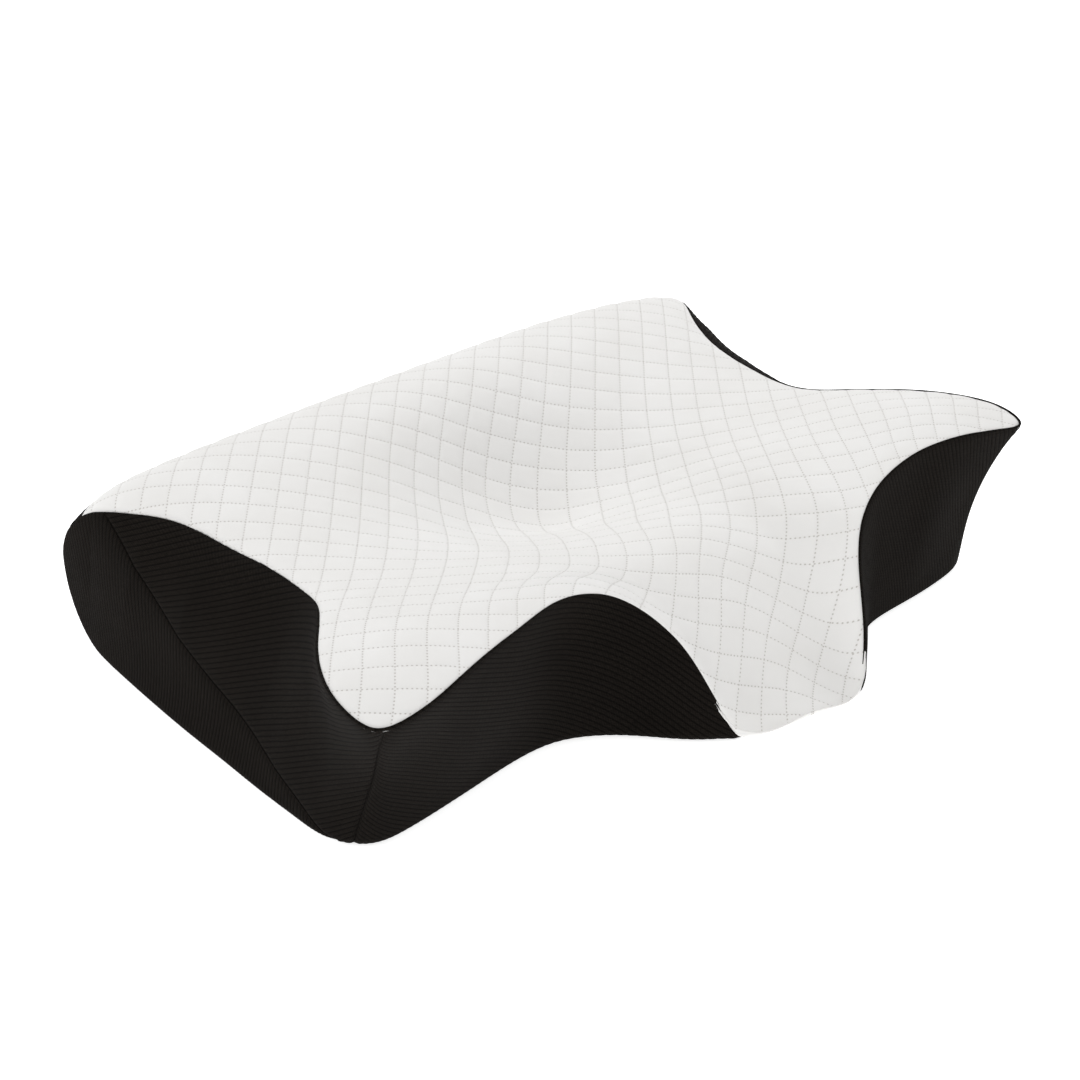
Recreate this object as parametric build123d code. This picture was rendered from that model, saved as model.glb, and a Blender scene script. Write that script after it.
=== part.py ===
from build123d import *
import os
import math

# Butterfly-shaped contoured memory-foam neck pillow, millimetres, +Z up.
# X runs along the back roll, -Y is the neck side, the flat underside is z = 0.
# The foam block sits in a zipped cover sewn from seven fabric panels.

os.makedirs("parts", exist_ok=True)

# ---- driving dimensions -------------------------------------------------
Y_SHIFT = 39.75           # puts the origin at the middle of the whole box
ROLL_R = 56.0             # full-round back roll
ROLL_U = 108.0            # roll centre behind the layout zero
QUILT_T = 3.0             # quilted top laminate
KNIT_T = 2.4              # ribbed knit wall
BASE_T = 2.4              # underside fabric
SEAM_ANGLE = 50.0         # where the white top ends on the back roll
ZIP_HALF = 190.0          # half length of the zipped slit
ZIP_Z = 56.0              # height of the zip
SLIT = 6.0                # half height of the slit in the cover
TAPE_W = 12.0
COIL_W = 2.2
COIL_GAP = 0.6            # half gap between the two coils
SLIDE_X = 176.0           # slider position when the zip is closed

# height of the top at each station |x|, from the roll top (u = 108) forwards
U_KNOTS = [108, 75, 40, 5, -35, -75, -115, -155, -190, -222, -262]
HEIGHTS = {
    0:   [112, 103, 75, 56, 60, 74, 79, 67, 43, 15, 2],
    50:  [112, 106, 86, 68, 68, 79, 84, 72, 47, 18, 4],
    75:  [112, 107, 94, 79, 77, 86, 93, 90, 78, 62, 45],
    100: [112, 109, 101, 90, 87, 94, 102, 104, 101, 94, 84],
    150: [112, 111, 108, 102, 100, 105, 114, 120, 120, 116, 110],
    200: [112, 112, 110, 107, 106, 111, 119, 125, 124, 118, 110],
    245: [112, 111, 109, 107, 107, 111, 118, 123, 122, 115, 106],
    292: [112, 108, 105, 103, 104, 107, 113, 117, 116, 109, 100],
}
# outline of the walls, half plan (x, u): at the floor and carried up to z = 135
BASE_LINE = [(268, 180), (273, 120), (275, 80), (276, 40), (276, 0), (275, -40),
             (274, -80), (272, -115), (269, -143), (261, -160), (248, -170),
             (228, -174), (200, -175), (170, -174), (142, -172), (120, -176),
             (103, -190), (86, -208), (68, -226), (50, -239), (26, -245), (0, -246)]
TOP_LINE = [(264, 180), (256, 128), (236, 95), (222, 55), (217, 12), (217, -32),
            (228, -76), (251, -117), (270, -155), (279, -185), (274, -206),
            (256, -214), (228, -208), (195, -200), (160, -192), (130, -185),
            (104, -186), (82, -196), (66, -214), (55, -232), (30, -243), (0, -246)]
WALL_H = 135.0


def v(x, u, z):
    return Vector(x, u + Y_SHIFT, z)


def offset_line(pts, d, left=False):
    """Move an open polyline sideways by d."""
    out = []
    n = len(pts)
    for i, (x, y) in enumerate(pts):
        a = pts[max(i - 1, 0)]
        b = pts[min(i + 1, n - 1)]
        tx, ty = b[0] - a[0], b[1] - a[1]
        length = math.hypot(tx, ty)
        tx, ty = tx / length, ty / length
        nx, ny = (ty, -tx) if not left else (-ty, tx)
        out.append((x + nx * d, y + ny * d))
    return out


def section(x, heights, inset):
    """Closed side profile at one station, its top and roll moved in by inset."""
    pts = list(zip(U_KNOTS, heights))
    pts = offset_line(pts, inset, left=True) if inset else pts
    pts[0] = (ROLL_U, ROLL_R * 2 - inset)
    r = ROLL_R - inset
    front = pts[-1]
    zf = max(front[1], 0.6)
    pts[-1] = (U_KNOTS[-1], zf)
    top = Spline(*[v(x, u, z) for u, z in pts], tangents=[Vector(0, -1, 0), Vector(0, -1, -0.15)])
    roll = ThreePointArc(v(x, ROLL_U, ROLL_R * 2 - inset), v(x, ROLL_U + r, ROLL_R), v(x, ROLL_U, inset))
    close = [Line(v(x, U_KNOTS[-1], zf), v(x, U_KNOTS[-1], -1.0)),
             Line(v(x, U_KNOTS[-1], -1.0), v(x, ROLL_U, -1.0)),
             Line(v(x, ROLL_U, -1.0), v(x, ROLL_U, inset))]
    wire = Wire([roll.edge(), top.edge()] + [c.edge() for c in close])
    return Face(wire)


def heights_at(x):
    """Heights at any |x|, a smooth curve through the listed stations."""
    xs = sorted(HEIGHTS)
    keys = [-xs[1]] + xs + [2 * xs[-1] - xs[-2]]
    rows = [HEIGHTS[xs[1]]] + [HEIGHTS[k] for k in xs] + [HEIGHTS[xs[-1]]]
    i = max(j for j in range(1, len(keys) - 2) if keys[j] <= x + 1e-9)
    x0, x1 = keys[i], keys[i + 1]
    t = (x - x0) / (x1 - x0)
    out = []
    for a, b, c, d in zip(rows[i - 1], rows[i], rows[i + 1], rows[i + 2]):
        m0 = (c - a) / (keys[i + 1] - keys[i - 1]) * (x1 - x0)
        m1 = (d - b) / (keys[i + 2] - keys[i]) * (x1 - x0)
        out.append((2 * t**3 - 3 * t**2 + 1) * b + (t**3 - 2 * t**2 + t) * m0
                   + (-2 * t**3 + 3 * t**2) * c + (t**3 - t**2) * m1)
    return out


def profile_body(inset):
    half = [0, 25, 50, 62, 75, 87, 100, 125, 150, 175, 200, 222, 245, 268, 292]
    stations = [-x for x in reversed(half) if x] + half
    return loft([section(x, heights_at(abs(x)), inset) for x in stations], ruled=True)


def wall_ring(pts, z):
    right = [Vector(x, u + Y_SHIFT, z) for x, u in pts]
    e_right = Spline(*right, tangents=[Vector(0.05, -1, 0), Vector(-1, 0, 0)]).edge()
    e_left = mirror(e_right, Plane.YZ).edge()
    e_back = Line(Vector(-right[0].X, right[0].Y, z), right[0]).edge()
    return Wire([e_back, e_right, e_left])


def wall_body(inset):
    def shrink(pts):
        q = offset_line(pts, inset) if inset else list(pts)
        q[0] = (pts[0][0] - inset, pts[0][1])
        q[-1] = (0, pts[-1][1] + inset)
        return q
    low = wall_ring(shrink(BASE_LINE), 0.0)
    high = wall_ring(shrink(TOP_LINE), WALL_H)
    return Solid.make_loft([low, high], True)


def solids(shape, smallest=40.0):
    return [s for s in shape.solids() if s.volume > smallest]


def block(x0, x1, u0, u1, z0, z1):
    return Pos((x0 + x1) / 2, (u0 + u1) / 2 + Y_SHIFT, (z0 + z1) / 2) * Box(x1 - x0, u1 - u0, z1 - z0)


def save(name, shape, color, smallest=0.01):
    parts = [s for s in shape.solids() if s.volume > smallest]
    out = parts[0] if len(parts) == 1 else Compound(parts)
    out.color = color
    out.label = name
    export_step(out, os.path.join("parts", name + ".step"))
    bb = out.bounding_box()
    print(f"{name:26s} solids {len(parts)} vol {out.volume:12.1f} "
          f"x {bb.min.X:7.1f} {bb.max.X:7.1f} y {bb.min.Y:7.1f} {bb.max.Y:7.1f} z {bb.min.Z:6.1f} {bb.max.Z:6.1f}")
    return out


WHITE = Color(0.95, 0.95, 0.93)
BLACK = Color(0.09, 0.085, 0.08)
FOAM = Color(0.93, 0.90, 0.72)
METAL = Color(0.25, 0.25, 0.26)

big = 700.0
p0, p1 = profile_body(0.0), profile_body(QUILT_T)
w0, w1 = wall_body(0.0), wall_body(KNIT_T)

outer = p0 & w0
shell = outer - p1                                   # everything outside the foam block's top and roll
inner = p1 & w0
walls = inner - w1
kernel = inner & w1

# ---- fabric panels ------------------------------------------------------
z_seam = ROLL_R + ROLL_R * math.sin(math.radians(SEAM_ANGLE))
behind = block(-big, big, ROLL_U, 400, -5, z_seam)
top_panel = max(solids(shell - behind), key=lambda s: s.volume)
back_shell = shell & behind
strip = back_shell & block(-big, big, ROLL_U, 400, ZIP_Z, z_seam)
lower_back = back_shell & block(-big, big, ROLL_U, 400, -5, ZIP_Z)
slit = block(-ZIP_HALF, ZIP_HALF, ROLL_U, 400, ZIP_Z - SLIT, ZIP_Z + SLIT)
strip = strip - slit
lower_back = lower_back - slit

# diagonal end seam: from the roll corner down to the front base corner
cut = Polyline((0, 150 + Y_SHIFT, 88), (0, -158 + Y_SHIFT, 1.5), (0, -158 + Y_SHIFT, -5),
               (0, 300 + Y_SHIFT, -5), (0, 300 + Y_SHIFT, 88), close=True)
wedge = extrude(Face(Wire(cut.edges())), amount=big, dir=(1, 0, 0), both=True)
ends = block(-big, -200, -150, 400, -5, 400) + block(200, big, -150, 400, -5, 400)
low_ends = (walls & wedge) & ends
rest_walls = walls - (wedge & ends)
bottom = kernel & block(-big, big, -big, big, -1, BASE_T)
kernel = kernel - block(-big, big, -big, big, -1, BASE_T)
base_panel = lower_back + bottom + low_ends
base_panel = max(solids(base_panel), key=lambda s: s.volume)

# corner seams at the front of each wing divide end panels from notch panels
def corner_side(sign):
    pts = [(sign * 400, 400), (sign * 400, -400), (sign * 262, -400), (sign * 262, -190),
           (sign * 200, -130), (sign * 150, 400)]
    line = Polyline(*[(x, u + Y_SHIFT, -5) for x, u in pts], close=True)
    return extrude(Face(Wire(line.edges())), amount=400, dir=(0, 0, 1))

right_zone, left_zone = corner_side(1), corner_side(-1)
end_right = max(solids(rest_walls & right_zone), key=lambda s: s.volume)
end_left = max(solids(rest_walls & left_zone), key=lambda s: s.volume)
front = rest_walls - right_zone - left_zone - block(-46, 46, -300, -200, -5, 200)
front_right = max(solids(front & block(0, big, -big, -100, -5, 200)), key=lambda s: s.volume)
front_left = max(solids(front & block(-big, 0, -big, -100, -5, 200)), key=lambda s: s.volume)

# ---- foam ---------------------------------------------------------------
y_back = ROLL_U + ROLL_R                             # outer face of the roll at the zip
channel = block(-ZIP_HALF - 8, ZIP_HALF + 8, y_back - 8.5, y_back + 5, ZIP_Z - 15, ZIP_Z + 15)
foam = max(solids(kernel - channel), key=lambda s: s.volume)

# ---- zip ----------------------------------------------------------------
tape_y0, tape_y1 = y_back - 4.8, y_back - 4.0
coil_y1 = tape_y1 + 2.0
def tape(sign):
    z0, z1 = sorted((ZIP_Z + sign * COIL_GAP, ZIP_Z + sign * (COIL_GAP + TAPE_W)))
    return block(-ZIP_HALF - 5, ZIP_HALF + 5, tape_y0, tape_y1, z0, z1)

def coil(sign):
    """One side of the coil: a rounded cord with a row of teeth along its outer face."""
    z0, z1 = sorted((ZIP_Z + sign * COIL_GAP, ZIP_Z + sign * (COIL_GAP + COIL_W)))
    body = block(-ZIP_HALF + 3, ZIP_HALF - 3, tape_y1, coil_y1 - 0.5, z0, z1)
    return body

tape_up, tape_low = tape(1), tape(-1)
coil_up, coil_low = coil(1), coil(-1)
strip = strip - tape_up
base_panel = base_panel - tape_low
stop_end = block(ZIP_HALF - 2.6, ZIP_HALF - 0.6, tape_y1, coil_y1 + 0.4, ZIP_Z - 3.2, ZIP_Z + 3.2)
stop_start = block(-ZIP_HALF + 0.6, -ZIP_HALF + 2.6, tape_y1, coil_y1 + 0.4, ZIP_Z - 3.2, ZIP_Z + 3.2)

sx = SLIDE_X
plate_y0 = coil_y1 + 0.4
plate = block(sx - 5, sx + 5, plate_y0, plate_y0 + 1.2, ZIP_Z - 4.2, ZIP_Z + 4.2)
plate = fillet(plate.edges().filter_by(Axis.Y), 1.6)
under = block(sx - 5, sx + 5, tape_y0 - 1.5, tape_y0 - 0.4, ZIP_Z - 4.2, ZIP_Z + 4.2)
under = fillet(under.edges().filter_by(Axis.Y), 1.6)
neck = block(sx + 1.5, sx + 4.5, tape_y0 - 0.5, plate_y0 + 0.1, ZIP_Z - 0.35, ZIP_Z + 0.35)
flanges = block(sx - 4, sx + 4, coil_y1 - 0.9, plate_y0 + 0.1, ZIP_Z + 3.3, ZIP_Z + 4.2) \
    + block(sx - 4, sx + 4, coil_y1 - 0.9, plate_y0 + 0.1, ZIP_Z - 4.2, ZIP_Z - 3.3)
py = plate_y0 + 1.2
bridge = block(sx - 3.6, sx + 3.6, py - 0.1, py + 2.9, ZIP_Z - 0.9, ZIP_Z + 0.9) \
    - block(sx - 2.6, sx + 2.6, py, py + 1.9, ZIP_Z - 2, ZIP_Z + 2)
slider = plate + under + neck + flanges + bridge

pin_y = py + 1.15
pin = Pos(sx, pin_y + Y_SHIFT, ZIP_Z) * Cylinder(0.6, 5.4)
arms = block(sx - 7.5, sx + 0.75, pin_y - 0.6, pin_y + 0.6, ZIP_Z + 1.5, ZIP_Z + 2.7) \
    + block(sx - 7.5, sx + 0.75, pin_y - 0.6, pin_y + 0.6, ZIP_Z - 2.7, ZIP_Z - 1.5)
leaf = block(sx - 27, sx - 6.4, pin_y - 0.6, pin_y + 0.6, ZIP_Z - 3.2, ZIP_Z + 3.2)
leaf = fillet(leaf.edges().filter_by(Axis.Y), 1.5)
leaf = leaf - Pos(sx - 22.5, pin_y + Y_SHIFT, ZIP_Z) * Rot(90, 0, 0) * Cylinder(1.6, 4)
pull = leaf + arms + pin

save("cover_top_quilted", top_panel, WHITE)
save("cover_back_strip", strip, BLACK, 40)
save("cover_base", base_panel, BLACK, 40)
save("cover_end_right", end_right, BLACK)
save("cover_end_left", end_left, BLACK)
save("cover_front_right", front_right, BLACK)
save("cover_front_left", front_left, BLACK)
save("foam_core", foam, FOAM)
save("zip_tape_upper", tape_up, BLACK)
save("zip_tape_lower", tape_low, BLACK)
save("zip_coil_upper", coil_up, BLACK)
save("zip_coil_lower", coil_low, BLACK)
save("zip_stop_closed", stop_end, METAL)
save("zip_stop_open", stop_start, METAL)
save("zip_slider", slider, METAL)
save("zip_pull", pull, METAL)
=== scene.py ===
import bpy
import math
import numpy as np
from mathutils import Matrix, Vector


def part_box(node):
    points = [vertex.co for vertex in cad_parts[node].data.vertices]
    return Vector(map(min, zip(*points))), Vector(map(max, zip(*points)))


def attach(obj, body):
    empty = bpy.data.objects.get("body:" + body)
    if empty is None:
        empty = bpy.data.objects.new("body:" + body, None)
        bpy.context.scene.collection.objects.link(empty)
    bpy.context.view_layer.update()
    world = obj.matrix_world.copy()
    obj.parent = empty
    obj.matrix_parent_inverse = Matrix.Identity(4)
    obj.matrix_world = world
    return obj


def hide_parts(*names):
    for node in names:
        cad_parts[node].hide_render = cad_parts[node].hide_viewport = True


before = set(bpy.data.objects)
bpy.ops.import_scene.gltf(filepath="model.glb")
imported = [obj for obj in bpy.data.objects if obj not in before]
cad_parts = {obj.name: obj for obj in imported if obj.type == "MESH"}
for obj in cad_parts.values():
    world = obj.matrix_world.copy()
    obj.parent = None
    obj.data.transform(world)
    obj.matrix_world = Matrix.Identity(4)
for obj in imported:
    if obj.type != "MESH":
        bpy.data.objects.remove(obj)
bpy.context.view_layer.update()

# Everything below is worked out in layout millimetres (x, u, z) and written in
# metres in the frame: X = x, Y = u + Y_SHIFT, Z = z.
Y_SHIFT = 39.75
ROLL_R, ROLL_U = 56.0, 108.0
SEAM_ANGLE = math.radians(50.0)
ZIP_HALF, ZIP_Z, SLIT = 190.0, 56.0, 6.0
CELL = 17.5                    # quilt cell
U_KNOTS = [108, 75, 40, 5, -35, -75, -115, -155, -190, -222, -262]
HEIGHTS = {
    0:   [112, 103, 75, 56, 60, 74, 79, 67, 43, 15, 2],
    50:  [112, 106, 86, 68, 68, 79, 84, 72, 47, 18, 4],
    75:  [112, 107, 94, 79, 77, 86, 93, 90, 78, 62, 45],
    100: [112, 109, 101, 90, 87, 94, 102, 104, 101, 94, 84],
    150: [112, 111, 108, 102, 100, 105, 114, 120, 120, 116, 110],
    200: [112, 112, 110, 107, 106, 111, 119, 125, 124, 118, 110],
    245: [112, 111, 109, 107, 107, 111, 118, 123, 122, 115, 106],
    292: [112, 108, 105, 103, 104, 107, 113, 117, 116, 109, 100],
}
BASE_LINE = [(268, 180), (273, 120), (275, 80), (276, 40), (276, 0), (275, -40),
             (274, -80), (272, -115), (269, -143), (261, -160), (248, -170),
             (228, -174), (200, -175), (170, -174), (142, -172), (120, -176),
             (103, -190), (86, -208), (68, -226), (50, -239), (26, -245), (0, -246)]
TOP_LINE = [(264, 180), (256, 128), (231, 95), (208, 56), (198, 12), (197, -36),
            (219, -82), (250, -119), (273, -155), (282, -185), (279, -210),
            (256, -214), (228, -208), (195, -200), (160, -192), (130, -185),
            (104, -186), (82, -196), (66, -214), (55, -232), (30, -243), (0, -246)]
WALL_H = 135.0
TONGUE_SHIFT = 42.0            # the tongue lies a little to one side
FINE = 1.1


def step(e0, e1, v):
    t = np.clip((np.asarray(v, float) - e0) / (e1 - e0), 0, 1)
    return t * t * (3 - 2 * t)


# ---- splines --------------------------------------------------------------
def cubic_m(t, y, s0=None, s1=None):
    """Second derivatives of a cubic spline through y(t); clamped where a slope is given."""
    t = np.asarray(t, float)
    y = np.asarray(y, float)
    n = len(t)
    h = np.diff(t)
    a = np.zeros((n, n))
    b = np.zeros_like(y)
    hh = h.reshape((-1,) + (1,) * (y.ndim - 1))
    d = np.diff(y, axis=0) / hh
    for i in range(1, n - 1):
        a[i, i - 1], a[i, i], a[i, i + 1] = h[i - 1], 2 * (h[i - 1] + h[i]), h[i]
        b[i] = 6 * (d[i] - d[i - 1])
    if s0 is None:
        a[0, 0] = 1
    else:
        a[0, 0], a[0, 1] = 2 * h[0], h[0]
        b[0] = 6 * (d[0] - s0)
    if s1 is None:
        a[-1, -1] = 1
    else:
        a[-1, -1], a[-1, -2] = 2 * h[-1], h[-1]
        b[-1] = 6 * (s1 - d[-1])
    return np.linalg.solve(a, b.reshape(n, -1)).reshape(y.shape)


def cubic_at(t, y, m, q):
    """Value at q of a spline whose y and m have one column per point of q, or plain columns."""
    i = np.clip(np.searchsorted(t, q) - 1, 0, len(t) - 2)
    h = t[i + 1] - t[i]
    a = (t[i + 1] - q) / h
    b = (q - t[i]) / h
    if y.ndim == 2 and y.shape[1] == len(q):
        c = np.arange(len(q))
        y0, y1, m0, m1 = y[i, c], y[i + 1, c], m[i, c], m[i + 1, c]
    else:
        y0, y1, m0, m1 = y[i], y[i + 1], m[i], m[i + 1]
        if y.ndim == 2:
            a, b, h = a[:, None], b[:, None], h[:, None]
    return a * y0 + b * y1 + ((a ** 3 - a) * m0 + (b ** 3 - b) * m1) * h * h / 6


XS = np.array(sorted(HEIGHTS), float)
ROWS = np.array([HEIGHTS[int(k)] for k in XS], float)
KEYS = np.concatenate([[-XS[1]], XS, [2 * XS[-1] - XS[-2]]])
PAD = np.vstack([ROWS[1], ROWS, ROWS[-1]])


def heights_x(ax):
    i = np.clip(np.searchsorted(KEYS, ax, side="right") - 1, 1, len(KEYS) - 3)
    x0, x1 = KEYS[i], KEYS[i + 1]
    t = ((ax - x0) / (x1 - x0))[:, None]
    m0 = (PAD[i + 1] - PAD[i - 1]) / (KEYS[i + 1] - KEYS[i - 1])[:, None] * (x1 - x0)[:, None]
    m1 = (PAD[i + 2] - PAD[i]) / (KEYS[i + 2] - KEYS[i])[:, None] * (x1 - x0)[:, None]
    return ((2 * t ** 3 - 3 * t ** 2 + 1) * PAD[i] + (t ** 3 - 2 * t ** 2 + t) * m0
            + (-2 * t ** 3 + 3 * t ** 2) * PAD[i + 1] + (t ** 3 - t ** 2) * m1).T


T_KNOTS = -np.array(U_KNOTS, float)


# ---- wall outline ---------------------------------------------------------
def _dense(pts, par, n=6000):
    m = cubic_m(par, np.array(pts, float))
    q = np.linspace(0, par[-1], n)
    return q, cubic_at(par, np.array(pts, float), m, q)


_mid = (np.array(BASE_LINE, float) + np.array(TOP_LINE, float)) / 2
_par = np.concatenate([[0], np.cumsum(np.hypot(*np.diff(_mid, axis=0).T))])
S_TAB, BASE_D = _dense(BASE_LINE, _par)
_, TOP_D = _dense(TOP_LINE, _par)


def wall(s, z):
    """Right-hand wall point (x, u) at outline length s and height z."""
    f = np.clip(np.asarray(z, float) / WALL_H, 0, 1)
    bx, bu = np.interp(s, S_TAB, BASE_D[:, 0]), np.interp(s, S_TAB, BASE_D[:, 1])
    tx, tu = np.interp(s, S_TAB, TOP_D[:, 0]), np.interp(s, S_TAB, TOP_D[:, 1])
    return bx * (1 - f) + tx * f, bu * (1 - f) + tu * f


_ex, _eu = wall(S_TAB, np.full(len(S_TAB), 105.0))
_k = int(np.argmax(_eu < -150))
EDGE_U, EDGE_X = _eu[:_k][::-1], _ex[:_k][::-1]


def end_drop(x, u):
    """How far the top sinks towards the end seams of the roll."""
    amount = np.interp(u, [-45, -5, 15, 60, 100, 170], [0, 1.5, 3.5, 7.0, 8.5, 8.5])
    dx = np.clip(np.interp(u, EDGE_U, EDGE_X) - np.abs(x), 0, None)
    return amount * np.exp(-dx / 15.0)


def crown(x):
    """How far the padded cover stands proud along the roll: full in the middle, nothing at the ends."""
    x = np.asarray(x, float)
    return 11.8 * np.clip(1 - (np.abs(x) / 266.0) ** 3.4, 0, 1) + \
        1.6 * np.clip(x / 120.0, -1, 1) * np.clip(1 - (np.abs(x) / 225.0) ** 4, 0, 1)


def roll_radius(theta, drop, x):
    """Radius of the covered roll at an angle in degrees: 0 is straight back, 90 straight up."""
    return ROLL_R - drop * step(0, 50, theta) + crown(x) * step(6, 60, theta)


def top_z(x, u):
    """Height of the top surface before quilting."""
    x = np.asarray(x, float).ravel()
    u = np.asarray(u, float).ravel()
    y = heights_x(np.clip(np.abs(x), 0, 291.9))
    m = cubic_m(T_KNOTS, y, 0.0, -0.15)
    z = cubic_at(T_KNOTS, y, m, np.clip(-u, -108, 262))
    drop = end_drop(x, u)
    r = roll_radius(90.0, drop, x)
    back = ROLL_R + np.sqrt(np.clip(r ** 2 - (u - ROLL_U) ** 2, 0, None))
    for _ in range(6):
        r = roll_radius(np.degrees(np.arctan2(back - ROLL_R, np.maximum(u - ROLL_U, 1e-6))), drop, x)
        back = ROLL_R + np.sqrt(np.clip(r ** 2 - (u - ROLL_U) ** 2, 0, None))
    rise = crown(x) * step(25, 108, u) + 4.0 * step(150, 230, np.abs(x)) * step(-40, -90, u)
    rise = rise - 5.0 * np.exp(-(x ** 2 + (u + 6.0) ** 2) / 28.0 ** 2)
    lip = 0.8 * step(-205, -246, u) * step(85, 40, np.abs(x))
    return np.where(u > ROLL_U, back, z - drop - lip + rise)


def bottom_z(u):
    d = np.clip(u - ROLL_U, 0, ROLL_R)
    return ROLL_R - np.sqrt(ROLL_R ** 2 - d ** 2)


def solve_up(s):
    lo, hi = np.full(len(s), 0.0), np.full(len(s), WALL_H)
    start = wall(s, np.full(len(s), ROLL_R))[1]
    lo = np.where(start > ROLL_U, ROLL_R, lo)
    for _ in range(34):
        mid = (lo + hi) / 2
        x, u = wall(s, mid)
        above = mid > top_z(x, u)
        hi = np.where(above, mid, hi)
        lo = np.where(above, lo, mid)
    return (lo + hi) / 2


def solve_low(s):
    lo, hi = np.full(len(s), 0.0), np.full(len(s), ROLL_R)
    for _ in range(34):
        mid = (lo + hi) / 2
        u = wall(s, mid)[1]
        out = mid < bottom_z(u)
        lo = np.where(out, mid, lo)
        hi = np.where(out, hi, mid)
    z = (lo + hi) / 2
    return np.where(wall(s, np.zeros(len(s)))[1] <= ROLL_U, 0.0, z)


def find_s(fun, target, a, b):
    """s where the falling function fun(s) reaches target."""
    for _ in range(50):
        m = (a + b) / 2
        if fun(m) > target:
            a = m
        else:
            b = m
    return (a + b) / 2


def wu(s, z):
    return float(wall(np.array([s]), np.array([z]))[1][0])


def wx(s, z):
    return float(wall(np.array([s]), np.array([z]))[0][0])


S_START = find_s(lambda s: wu(s, 56.0), ROLL_U + ROLL_R - 0.02, 0.0, 60.0)
S_DENSE = np.concatenate([S_START + 20 * (1 - np.cos(np.linspace(0, np.pi / 2, 60)))[:-1],
                          np.linspace(S_START + 20, S_TAB[-1], 1500)])
Z_HI = solve_up(S_DENSE)
Z_LO = solve_low(S_DENSE)


def z_hi(s):
    return np.interp(s, S_DENSE, Z_HI)


def z_lo(s):
    return np.interp(s, S_DENSE, Z_LO)


# diagonal end seam: u against z on the end wall
DIAG_U = np.array([-152.0, -115, -53, 8, 44, 82, 112, 120])
DIAG_Z = np.array([0.0, 13.0, 28, 44, 59, 79, 99.5, 106])
_dm = cubic_m(DIAG_U, DIAG_Z)
_z = np.full(len(S_DENSE), 50.0)
for _ in range(60):
    _u = wall(S_DENSE, _z)[1]
    _new = cubic_at(DIAG_U, DIAG_Z, _dm, np.clip(_u, -152, 120))
    _z = 0.6 * _z + 0.4 * np.clip(_new, 0, 110)
_du = wall(S_DENSE, _z)[1]
Z_DIAG = np.where(_du > 119, 300.0, np.where(_du < -151.9, 0.0, _z))


def z_diag(s):
    return np.interp(s, S_DENSE, Z_DIAG)


S_JOIN = float(S_DENSE[np.argmax(Z_DIAG < Z_HI)])
S_TAIL = float(S_DENSE[np.argmax((_du < -151.8))])
S_CORNER0 = float(_par[9])
S_CORNER1 = float(_par[10] + 0.32 * (_par[11] - _par[10]))
S_TONGUE = find_s(lambda s: wx(s, 0.0), 60.0, _par[15], _par[21])
S_TIP = find_s(lambda s: wx(s, 0.0), 47.0, _par[15], _par[21])
S_END = float(_par[-1])


def z_black(s):
    """Top edge of the black walls; it runs down to the floor beside the tongue's tip."""
    f = np.clip((s - S_TONGUE) / (S_TIP - S_TONGUE), 0, 1)
    return z_hi(s) * (1 - f ** 1.6)


def s_corner(z):
    return S_CORNER0 + (S_CORNER1 - S_CORNER0) * np.clip(z / 121.0, 0, 1)


# ---- small mesh tools -----------------------------------------------------
# (x, u, z) on the front edges, and how far that edge lies from the mirrored shape
LEAN = [((-253, -210, 120), (0, -6)), ((-226, -205, 123), (1.6, -5.5)), ((-193, -198, 124), (0.3, -1.5)),
        ((-158, -190, 122), (-0.5, 1.9)), ((-128, -184, 114), (0, 5.2)), ((-104, -187, 103), (6, 15)),
        ((-84, -201, 84), (13, 16)), ((-67, -222, 47), (10.5, 9.5)), ((-50, -239, 9), (6, 10)),
        ((-248, -170, 0), (1.5, 3.5)), ((-228, -174, 0), (0.5, 6.5)), ((-200, -175, 0), (0, 10.5)),
        ((-170, -174, 0), (-0.9, 12.5)), ((-142, -172, 0), (0, 10)), ((-120, -176, 0), (3.8, 7.3)),
        ((-103, -190, 0), (7.5, 7.5)), ((-86, -208, 0), (7, 6.8)), ((-68, -226, 0), (4, 4.5)),
        ((253, -210, 120), (0, 12)), ((226, -205, 123), (2, 11.3)), ((193, -198, 124), (2.5, 12)),
        ((158, -190, 122), (2.3, 9)), ((128, -184, 114), (0, 1)), ((104, -187, 103), (1.2, -3)),
        ((84, -201, 84), (1, -1)), ((67, -222, 47), (1, -1)), ((261, -160, 0), (3, -3)),
        ((248, -170, 0), (1.2, -2.8)), ((228, -174, 0), (0.4, -4.5)), ((200, -175, 0), (0, -5.5)),
        ((170, -174, 0), (0, -4.5)), ((142, -172, 0), (0, -6)), ((120, -176, 0), (4.5, -9)),
        ((103, -190, 0), (6, -6)), ((-26, -245, 0), (4, 7)), ((0, -246, 0), (2, 5)), ((28, -244, 0), (1, 3.5)), ((52, -238, 0), (1, 1.5)), ((0, -205, 80), (2, 5)), ((0, -160, 100), (0, 2)),
        ((-215, -130, 60), (0, 1)), ((215, -130, 60), (0, 0)), ((-130, -130, 60), (1, 4)), ((130, -130, 60), (0, 0))]
LEAN_P = np.array([p for p, _ in LEAN], float)
LEAN_V = np.array([v for _, v in LEAN], float)


def _kernel(p):
    d = (p[:, None, :] - LEAN_P[None]) * np.array([1.0, 1.0, 0.75])
    return np.exp(-(d ** 2).sum(2) / 44.0 ** 2)


LEAN_W = np.linalg.solve(_kernel(LEAN_P) + 0.12 * np.eye(len(LEAN)), LEAN_V)


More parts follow.
